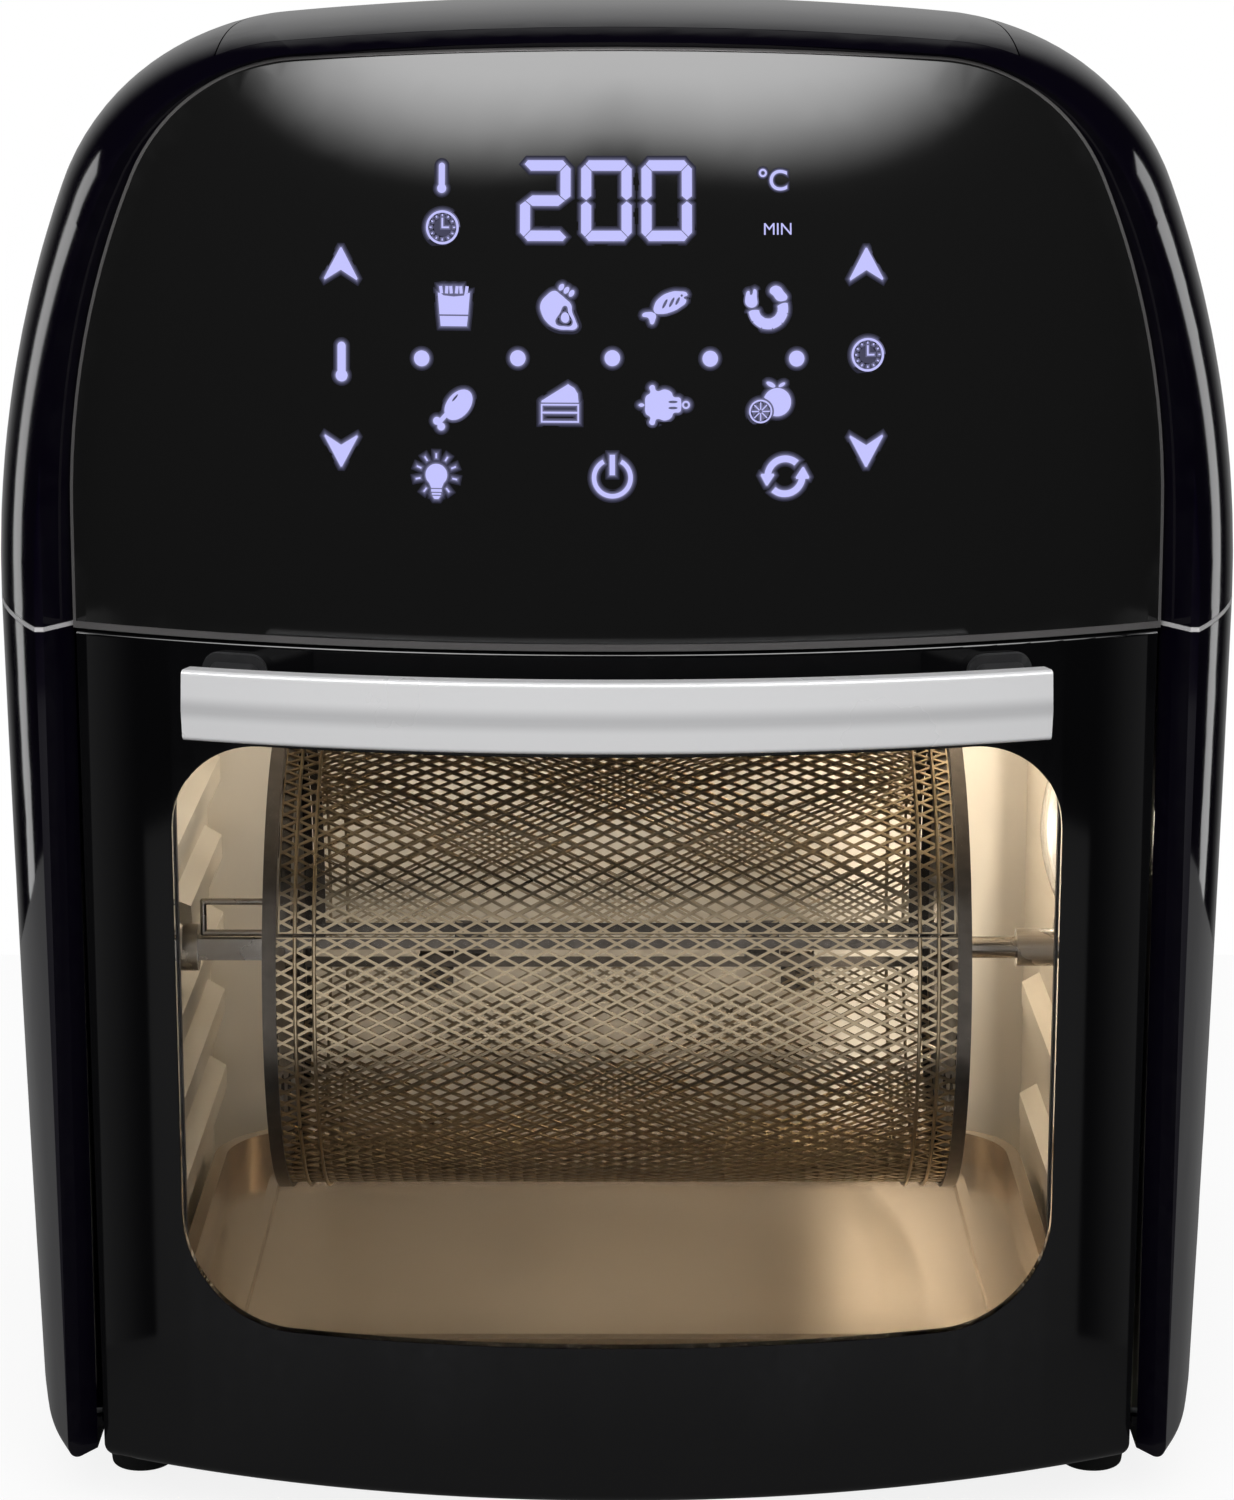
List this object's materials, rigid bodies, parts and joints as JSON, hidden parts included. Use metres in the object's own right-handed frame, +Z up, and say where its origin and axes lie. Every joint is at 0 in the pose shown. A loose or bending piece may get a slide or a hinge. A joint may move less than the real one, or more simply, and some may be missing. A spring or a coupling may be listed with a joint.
{
  "type": "rotisserie oven",
  "caption": "Countertop rotisserie air-fryer oven with rounded black casing, glass touch panel, drop-down window door and turning mesh drum.",
  "frame": {"origin": "centre of the bounding box at the underside of the feet", "axes": "+X to the right seen from the front, +Y to the back, +Z up; the door faces -Y"},
  "size_m": [0.3202, 0.34, 0.381],
  "materials": {
    "casing_black": "high gloss black",
    "rear_black": "fine matt black",
    "zinc_sheet": "satin zinc-plated sheet",
    "foot_rubber": "matt",
    "screw_steel": "satin",
    "seam_line": "satin silver-grey",
    "panel_glass": "gloss black printed glass",
    "circuit": "matt circuit board",
    "motor_body": "satin grey",
    "heater_tube": "matt dark oxidised",
    "fan_sheet": "satin",
    "cavity_steel": "satin galvanised sheet",
    "seal_silicone": "matt silicone",
    "lamp_glass": "frosted",
    "tray_steel": "bright pressed sheet",
    "door_black": "high gloss black",
    "window_glass": "clear",
    "handle_silver": "satin silver",
    "spring_steel": "satin",
    "drum_steel": "dull steel"
  },
  "bodies": {
    "oven": {"base_plate": "zinc_sheet", "casing_screws": "screw_steel", "cavity_back_wall": "cavity_steel", "cavity_ceiling": "cavity_steel", "cavity_floor": "cavity_steel", "cavity_front_frame": "cavity_steel", "cavity_left_wall": "cavity_steel", "cavity_right_wall": "cavity_steel", "control_panel_glass": "panel_glass", "cord_gland": "rear_black", "display_board": "circuit", "door_seal": "seal_silicone", "door_switch": "rear_black", "drip_tray": "tray_steel", "drum_support": "drum_steel", "fan_guard": "zinc_sheet", "fan_motor": "motor_body", "feet": "foot_rubber", "foot_screws": "screw_steel", "heater_dome": "zinc_sheet", "heating_element": "heater_tube", "hinge_arms": "zinc_sheet", "lamp_housing": "zinc_sheet", "lamp_lens": "lamp_glass", "lower_casing_left": "casing_black", "lower_casing_right": "casing_black", "motor_bracket": "zinc_sheet", "oven_lamp": "lamp_glass", "panel_carrier": "rear_black", "panel_trim": "seam_line", "power_board": "circuit", "rear_cover": "rear_black", "rotisserie_motor": "motor_body", "seam_trim": "seam_line", "temperature_probe": "cavity_steel", "thermal_cutout": "cavity_steel", "top_cover": "casing_black", "upper_casing": "casing_black"},
    "door": {"door_outer_panel": "door_black", "door_window_glass": "window_glass", "door_inner_frame": "rear_black", "door_inner_glass": "window_glass", "door_handle_bar": "handle_silver", "handle_mounts": "rear_black", "hinge_pins": "screw_steel", "hinge_springs": "spring_steel", "door_screws": "screw_steel"},
    "drum": {"drum_ends": "drum_steel", "drum_shell_mesh": "drum_steel", "drum_bars": "drum_steel", "drum_hinge_pins": "screw_steel", "drum_axles": "drum_steel", "drum_lift_loop": "spring_steel"},
    "drum_lid": {"drum_lid_mesh": "drum_steel", "drum_lid_frame": "drum_steel"},
    "drive": {"drive_coupler": "drum_steel"},
    "fan": {"convection_fan": "fan_sheet", "cooling_fan": "fan_sheet", "fan_shaft": "screw_steel"},
    "plunger": {"switch_plunger": "rear_black"}
  },
  "joints": [
    {"name": "door_hinge", "type": "hinge", "parent": "oven", "child": "door", "pos_m": [0, -0.112, 0.031], "axis": [1, 0, 0], "range_deg": [0, 80], "stiffness_Nm_per_rad": 0.35, "springref_deg": -57.3},
    {"name": "drum_spin", "type": "hinge", "parent": "oven", "child": "drum", "pos_m": [0, 0, 0.1225], "axis": [1, 0, 0], "continuous": true},
    {"name": "drive_spin", "type": "hinge", "parent": "oven", "child": "drive", "pos_m": [-0.12, 0, 0.1225], "axis": [1, 0, 0], "continuous": true},
    {"name": "drum_lid_hinge", "type": "hinge", "parent": "drum", "child": "drum_lid", "pos_m": [0, 0.06369, 0.10303], "axis": [-1, 0, 0], "range_deg": [0, 12]},
    {"name": "fan_spin", "type": "hinge", "parent": "oven", "child": "fan", "pos_m": [0, 0.008, 0.26], "axis": [0, 0, 1], "continuous": true},
    {"name": "plunger_slide", "type": "slide", "parent": "oven", "child": "plunger", "axis": [0, -1, 0], "range_m": [0, 0.002], "stiffness_N_per_m": 150, "springref_m": 0.004}
  ],
  "couplings": [
    {"joint": "drive_spin", "follows": "drum_spin", "ratio": 1},
    {"joint": "plunger_slide", "follows": "door_hinge", "m_per_rad": 0.00143}
  ]
}
